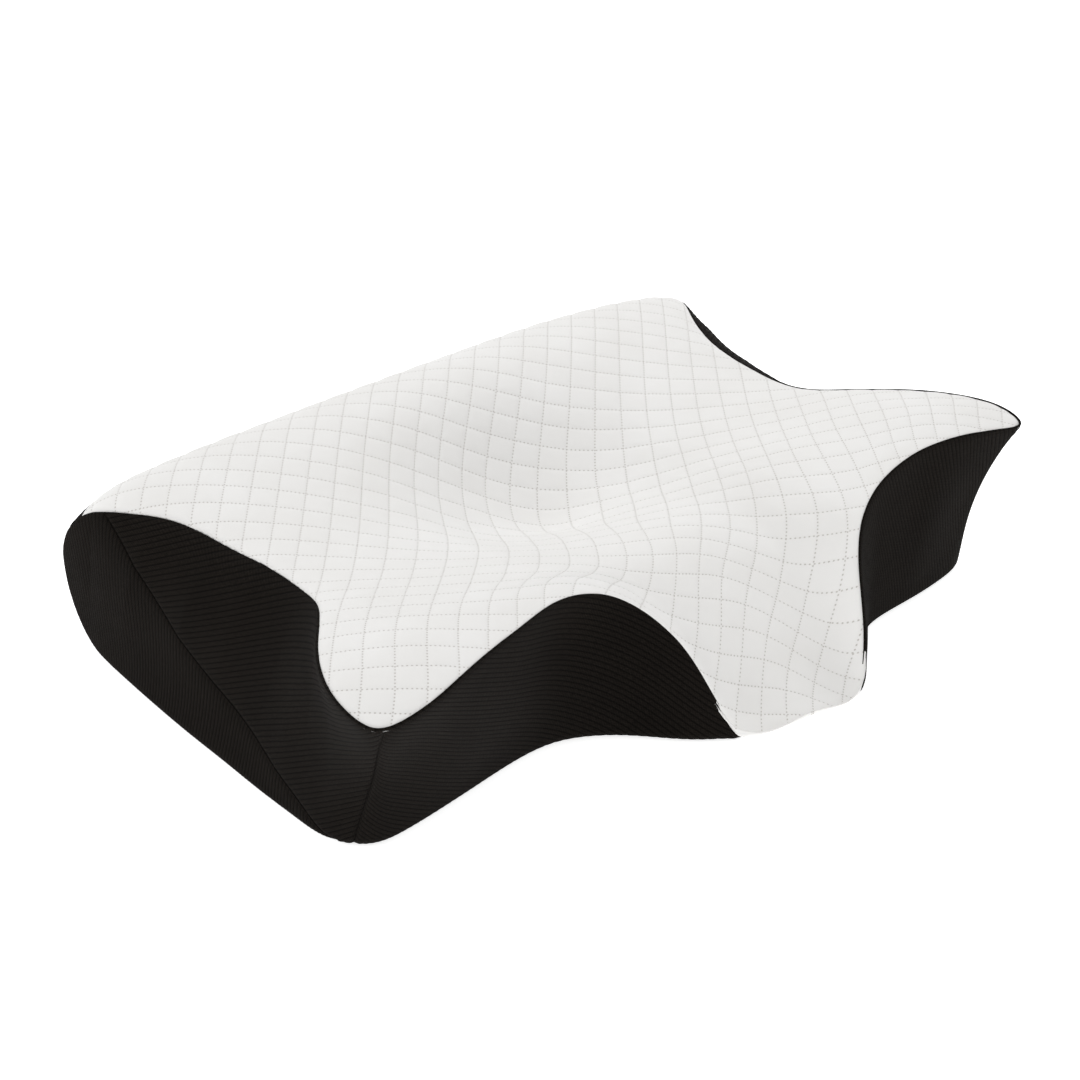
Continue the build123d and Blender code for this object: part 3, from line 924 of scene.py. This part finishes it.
def roll_chunk(t_hi, t_lo, nt_, seams, slit_side):
    """Part of the roll between two angles in degrees; t_hi and t_lo may depend on x."""
    nx = 440
    xf = np.linspace(-1, 1, nx)[None, :].repeat(nt_, 0)
    bf = np.linspace(0, 1, nt_)[:, None].repeat(nx, 1)
    xa = np.abs(xf) * 265
    th = t_hi(xa) * (1 - bf) + t_lo(xa) * bf
    rad = np.radians(th)
    u, z = ROLL_U + ROLL_R * np.cos(rad), ROLL_R + ROLL_R * np.sin(rad)
    rr = 1e-3 + 6.5 * step(50, 12, th)
    x = xf * (end_x(u, z) - rr)
    r = roll_radius(th, end_drop(x, np.full_like(x, 140.0)), x)
    g = np.stack([x, ROLL_U + r * np.cos(rad), ROLL_R + r * np.sin(rad)], -1)
    n = np.stack([0 * x, np.cos(rad), np.sin(rad)], -1)
    zz = np.abs(g[..., 2] - ZIP_Z)
    in_slit = step(ZIP_HALF + 3, ZIP_HALF - 1, np.abs(x))
    # the slit's edges are turned in to the tape
    tuck = 3.4 * (1 - step(SLIT, SLIT + 4.5, zz)) * in_slit
    # beyond the slit the two panels are sewn together
    join = (0.85 * np.exp(-(zz / 1.5) ** 2) + 0.35 * np.exp(-(zz / 4.5) ** 2)) * (1 - in_slit)
    white = np.zeros_like(x)
    if "white" in seams:
        d = (50 - th) * math.pi / 180 * ROLL_R
        white = 0.85 * np.exp(-(d / 1.5) ** 2) + 0.35 * np.exp(-(d / 4.5) ** 2)
    ribs = (x * 0.97 + 0.12 * th)
    r_ = ribs / 3.7
    rel = 0.22 * (1 - np.exp(-(np.abs(np.sin(np.pi * r_)) / 0.5) ** 2)) * step(0, 3, zz - SLIT * in_slit)
    p = g + n * (rel - tuck - join - white - 0.11)[..., None]
    fab = np.stack([r_, rad * ROLL_R, 0 * x], -1)
    f = grid_faces(nt_, nx, False)
    a, b, c = p.reshape(-1, 3)[f[len(f) // 2][:3]]
    if np.dot(np.cross(b - a, c - a), n.reshape(-1, 3)[f[len(f) // 2][0]]) < 0:
        f = f[:, ::-1]
    return p.reshape(-1, 3), n.reshape(-1, 3), [tuple(q) for q in f.tolist()], fab.reshape(-1, 3)


slit_deg = math.degrees(math.asin(SLIT / ROLL_R))


def slit_edge(sign):
    return lambda xa: sign * slit_deg * step(ZIP_HALF + 3, ZIP_HALF - 1, xa)


upper = roll_chunk(lambda xa: 0 * xa + 50.0, slit_edge(1), 46, ("white",), 1)
lower = roll_chunk(slit_edge(-1), lambda xa: 0 * xa - 90.0, 84, (), -1)
make("back_strip", [upper], BLACK, ["cover_back_strip"])

# ---- underside ------------------------------------------------------------
ss = np.linspace(S_TAIL, S_END, 500)
bx, bu = wall(ss, 0 * ss)
e = 0.6
x1, u1 = wall(np.clip(ss + e, 0, S_END), 0 * ss)
x0, u0 = wall(np.clip(ss - e, 0, S_END), 0 * ss)
on = unit(np.stack([-(u1 - u0), x1 - x0], -1))
rr = np.minimum(7.0, 0.8 * np.maximum(z_hi(ss), 1.0)) + 7.0 * step(S_TONGUE - 8, S_TONGUE + 4, ss)
rim = np.stack([bx, bu], 1) - on * rr[:, None]
us = np.linspace(ROLL_U, -150.0, 260)
ex = end_x(us, 0 * us)
back_rr = 6.0 + 0.5 * step(ROLL_U - 12, ROLL_U + 2, us)
side = np.stack([ex - back_rr, us], 1)
half = np.vstack([side, rim[rim[:, 1] < -150.0 - 1.0] if False else rim])
half[-1, 0] = 0.0
full = np.vstack([half, (half * [-1, 1])[::-1][1:]])
bxy, bf = region(full, 3.0)
bp = np.column_stack([bxy, np.zeros(len(bxy))])
bd, _ = near(bxy, full, 12.0)
r_ = (bxy[:, 1] * 0.968) / 3.7
bp[:, 2] += 0.25
under = (bp, np.tile([0.0, 0, -1], (len(bp), 1)), [tuple(reversed(q)) for q in bf], np.stack([r_, bxy[:, 0], 0 * r_], 1))
make("underside_and_lower_ends", [lower, end_outer, mirror_chunk(end_outer), under], BLACK, ["cover_base"])


# ---- foam -----------------------------------------------------------------
def foam_block():
    """The block follows the cover a few millimetres inside it."""
    line = LOOP[::4]
    xy, f = region(LOOP[:, :2], 5.0)
    z = top_z(xy[:, 0], xy[:, 1])
    n = top_normals(xy[:, 0], xy[:, 1])
    d, w = near(xy, LOOP, 14.0)
    pull = np.clip(10.0 - d, 0, 10.0) * np.where(d < 14, 1, 0)
    p = np.stack([xy[:, 0], xy[:, 1], z], 1) - n * 6.0
    p[:, :2] -= LOOP_N[w][:, :2] * pull[:, None]
    p[:, 2] = np.maximum(p[:, 2], 5.0)
    # lowest height at which each column is still inside the leaning walls
    low = np.zeros(len(p))
    so = np.linspace(S_START, S_END, 260)
    for zl in np.arange(0, 121, 4.0)[::-1]:
        ax, au = wall(so, 0 * so + zl)
        ex_, eu_ = wall(np.clip(so + 1, 0, S_END), 0 * so + zl)
        fx_, fu_ = wall(np.clip(so - 1, 0, S_END), 0 * so + zl)
        nn = unit(np.stack([-(eu_ - fu_), ex_ - fx_], 1))
        ring = np.stack([ax, au], 1) - nn * 9.0
        ring[0, 1] = 400.0
        ring[-1, 0] = 0.0
        ring = np.vstack([ring, (ring * [-1, 1])[::-1][1:]])
        a0, b0 = ring, np.roll(ring, -1, axis=0)
        hit = (a0[None, :, 1] <= p[:, None, 1]) != (b0[None, :, 1] <= p[:, None, 1])
        dy = np.where(b0[:, 1] == a0[:, 1], 1e-9, b0[:, 1] - a0[:, 1])
        xc = a0[None, :, 0] + (p[:, None, 1] - a0[None, :, 1]) / dy[None, :] * (b0[:, 0] - a0[:, 0])[None, :]
        odd = (hit & (xc > p[:, None, 0])).sum(1) % 2 == 1
        low = np.where(odd, low, np.maximum(low, zl + 4.0))
    q = p.copy()
    q[:, 2] = np.where(q[:, 1] > ROLL_U, np.maximum(6.0, 2 * ROLL_R - q[:, 2]), 5.0)
    q[:, 2] = np.maximum(q[:, 2], low + 3.0)
    q[:, 2] = np.minimum(q[:, 2], p[:, 2] - 0.5)
    m = len(p)
    faces = [tuple(t) for t in f] + [tuple(v + m for v in reversed(t)) for t in f]
    sizes = {}
    for t in f:
        for a, b in zip(t, t[1:] + t[:1]):
            sizes[(a, b)] = 1
    for (a, b) in sizes:
        if (b, a) not in sizes:
            faces.append((b, a, a + m, b + m))
    me = bpy.data.meshes.new("foam_block")
    me.from_pydata(metres(np.vstack([p, q])).tolist(), [], faces)
    me.validate()
    ob = bpy.data.objects.new("foam_block", me)
    bpy.context.scene.collection.objects.link(ob)
    mod = ob.modifiers.new("r", "REMESH")
    mod.mode = "VOXEL"
    mod.voxel_size = 0.005
    sm = ob.modifiers.new("s", "SMOOTH")
    sm.iterations = 4
    bpy.context.view_layer.update()
    dg = bpy.context.evaluated_depsgraph_get()
    done = bpy.data.meshes.new_from_object(ob.evaluated_get(dg))
    # the foam keeps clear of the underside and of the lower back
    v = np.empty(len(done.vertices) * 3)
    done.vertices.foreach_get("co", v)
    v = v.reshape(-1, 3)
    du, dz = v[:, 1] * 1000 - Y_SHIFT - ROLL_U, v[:, 2] * 1000 - ROLL_R
    rho = np.hypot(du, dz)
    shrink = np.where((du > 0) & (dz < 0) & (rho > ROLL_R - 6), (ROLL_R - 6) / np.maximum(rho, 1e-6), 1.0)
    v[:, 1] = (Y_SHIFT + ROLL_U + du * shrink) * 0.001
    v[:, 2] = np.maximum((ROLL_R + dz * shrink) * 0.001, 0.005)
    done.vertices.foreach_set("co", v.ravel())
    done.update()
    ob.modifiers.clear()
    ob.data = done
    done.name = "foam_block"
    done.shade_smooth()
    done.materials.clear()
    done.materials.append(FOAM)
    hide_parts("foam_core")
    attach(ob, "root")
    return ob


foam_block()


# ---- zip ------------------------------------------------------------------
def box_mm(node):
    lo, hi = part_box(node)
    return np.array(lo) * 1000, np.array(hi) * 1000


def plain(name, pts_mm, faces, material, node):
    """A small hard piece given in frame millimetres."""
    me = bpy.data.meshes.new(name)
    me.from_pydata((np.asarray(pts_mm) * 0.001).tolist(), [], faces)
    me.validate()
    me.shade_smooth()
    me.materials.append(material)
    ob = bpy.data.objects.new(name, me)
    bpy.context.scene.collection.objects.link(ob)
    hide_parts(node)
    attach(ob, "root")
    return ob


def tape(name, node, sign):
    lo, hi = box_mm(node)
    nx, nz = 400, 16
    x = np.linspace(lo[0], hi[0], nx)
    zf = np.linspace(0, 1, nz)
    X, Z = np.meshgrid(x, lo[2] + (hi[2] - lo[2]) * zf)
    y0 = 0 * X + hi[1] - 0.05
    edge = np.abs(Z - ZIP_Z)
    y = y0 - 0.18 * np.exp(-((edge - 3.4) / 0.5) ** 2) + 0.05 * np.sin(X * 2.1) * np.sin(Z * 3.0)
    front = np.stack([X, y, Z], -1).reshape(-1, 3)
    back = front.copy()
    back[:, 1] = lo[1]
    m = len(front)
    f = grid_faces(nz, nx)
    a, b, c = front[f[0][:3]]
    if np.cross(b - a, c - a)[1] < 0:
        f = f[:, ::-1]
    faces = [tuple(q) for q in f.tolist()]
    p, out = thick(front, np.tile([0.0, 1, 0], (m, 1)), faces, float(hi[1] - lo[1]) - 0.1)
    return plain(name, p, out, TAPE, node)


def coil(name, node, sign):
    """One side of a nylon coil: a row of small bent loops along a core cord."""
    lo, hi = box_mm(node)
    pitch = 1.6
    count = int((hi[0] - lo[0]) / pitch)
    yc = (lo[1] + hi[1]) / 2 + 0.1
    inner = ZIP_Z + sign * 0.62
    path = np.array([[0, -0.55, 1.75], [-0.05, -0.50, 1.0], [-0.10, -0.42, 0.40], [0, 0.0, 0.02],
                     [0.12, 0.42, 0.40], [0.20, 0.50, 1.0], [0.35, 0.52, 1.75], [0.6, 0.1, 2.05], [0.8, -0.45, 1.85]])
    tang = unit(np.gradient(path, axis=0))
    ref = unit(np.cross(tang, [1.0, 0.05, 0]))
    ref2 = np.cross(tang, ref)
    ang = np.linspace(0, 2 * np.pi, 7)[:-1]
    ring = (path[:, None, :] + 0.30 * (np.cos(ang)[None, :, None] * ref[:, None, :] + np.sin(ang)[None, :, None] * ref2[:, None, :]))
    rows = len(path)
    f = []
    for i in range(rows - 1):
        for j in range(6):
            f.append((i * 6 + j, i * 6 + (j + 1) % 6, (i + 1) * 6 + (j + 1) % 6, (i + 1) * 6 + j))
    f.append(tuple(range(5, -1, -1)))
    f.append(tuple((rows - 1) * 6 + j for j in range(6)))
    ring = ring.reshape(-1, 3)
    pts, faces = [], []
    for n in range(count):
        q = ring.copy()
        q[:, 0] += lo[0] + (n + 0.25 + (0.5 if sign < 0 else 0.0) * 0.9) * pitch
        q = np.stack([q[:, 0], yc + q[:, 1] * 0.75, inner + sign * q[:, 2]], 1)
        q[:, 0] = np.clip(q[:, 0], lo[0], hi[0])
        faces += [tuple(v + len(pts) * len(ring) for v in (t if sign > 0 else tuple(reversed(t)))) for t in f]
        pts.append(q)
    core = []
    nx = 260
    off = len(pts) * len(ring)
    cx = np.linspace(lo[0] + 0.3, hi[0] - 0.3, nx)
    cs = np.array([(math.cos(t), math.sin(t)) for t in ang])
    for xx in cx:
        for c_, s_ in cs:
            core.append((xx, yc + 0.28 * c_, inner + sign * (1.25 + 0.36 * s_)))
    for i in range(nx - 1):
        for j in range(6):
            q = (off + i * 6 + j, off + i * 6 + (j + 1) % 6, off + (i + 1) * 6 + (j + 1) % 6, off + (i + 1) * 6 + j)
            faces.append(q if sign < 0 else tuple(reversed(q)))
    faces.append(tuple(off + j for j in range(6)))
    faces.append(tuple(off + (nx - 1) * 6 + j for j in range(5, -1, -1)))
    pts = np.vstack(pts + [np.array(core)])
    return plain(name, pts, faces, NYLON, node)


tape("zip_tape_top", "zip_tape_upper", 1)
tape("zip_tape_bottom", "zip_tape_lower", -1)
coil("zip_teeth_top", "zip_coil_upper", 1)
coil("zip_teeth_bottom", "zip_coil_lower", -1)
for node in ("zip_stop_closed", "zip_stop_open", "zip_slider", "zip_pull"):
    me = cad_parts[node].data
    me.materials.clear()
    me.materials.append(METAL)

# ---- floor, light and camera ----------------------------------------------
me = bpy.data.meshes.new("floor")
me.from_pydata([(-6, -6, -0.0005), (6, -6, -0.0005), (6, 6, -0.0005), (-6, 6, -0.0005)], [], [(0, 1, 2, 3)])
floor = bpy.data.objects.new("floor", me)
bpy.context.scene.collection.objects.link(floor)
fm, fnt, fbs = nodes_of("floor")
fbs.inputs["Base Color"].default_value = (0.92, 0.92, 0.92, 1)
fbs.inputs["Roughness"].default_value = 0.9
fbs.inputs["Specular IOR Level"].default_value = 0.0
fbs.inputs["Emission Color"].default_value = (1, 1, 1, 1)
fbs.inputs["Emission Strength"].default_value = 0.78
me.materials.append(fm)

world = bpy.data.worlds.new("studio")
world.use_nodes = True
world.node_tree.nodes["Background"].inputs[0].default_value = (1.0, 1.0, 1.0, 1)
world.node_tree.nodes["Background"].inputs[1].default_value = 0.63
bpy.context.scene.world = world


def area(name, loc, target, size, power):
    d = bpy.data.lights.new(name, "AREA")
    d.shape = "SQUARE"
    d.size = size
    d.energy = power
    ob = bpy.data.objects.new(name, d)
    bpy.context.scene.collection.objects.link(ob)
    ob.location = loc
    from mathutils import Vector
    ob.rotation_euler = (Vector(target) - Vector(loc)).to_track_quat("-Z", "Y").to_euler()
    return ob


area("key", (0.9, 0.6, 2.1), (0, 0, 0.05), 1.6, 20)
area("fill", (-1.8, 0.5, 1.5), (0, 0, 0.05), 1.6, 11)

cam = bpy.data.cameras.new("camera")
cam.lens = 73.333
cam.sensor_width = 36
cam.clip_end = 50
co = bpy.data.objects.new("camera", cam)
bpy.context.scene.collection.objects.link(co)
from mathutils import Matrix
right, up, fwd = (0.7716, -0.6361, 0.0), (0.3228, 0.3916, 0.8616), (0.5481, 0.6648, -0.5075)
co.matrix_world = Matrix(((right[0], up[0], -fwd[0], -0.8225), (right[1], up[1], -fwd[1], -0.9740),
                          (right[2], up[2], -fwd[2], 0.8094), (0, 0, 0, 1)))
bpy.context.scene.camera = co
bpy.context.scene.view_settings.view_transform = "Standard"
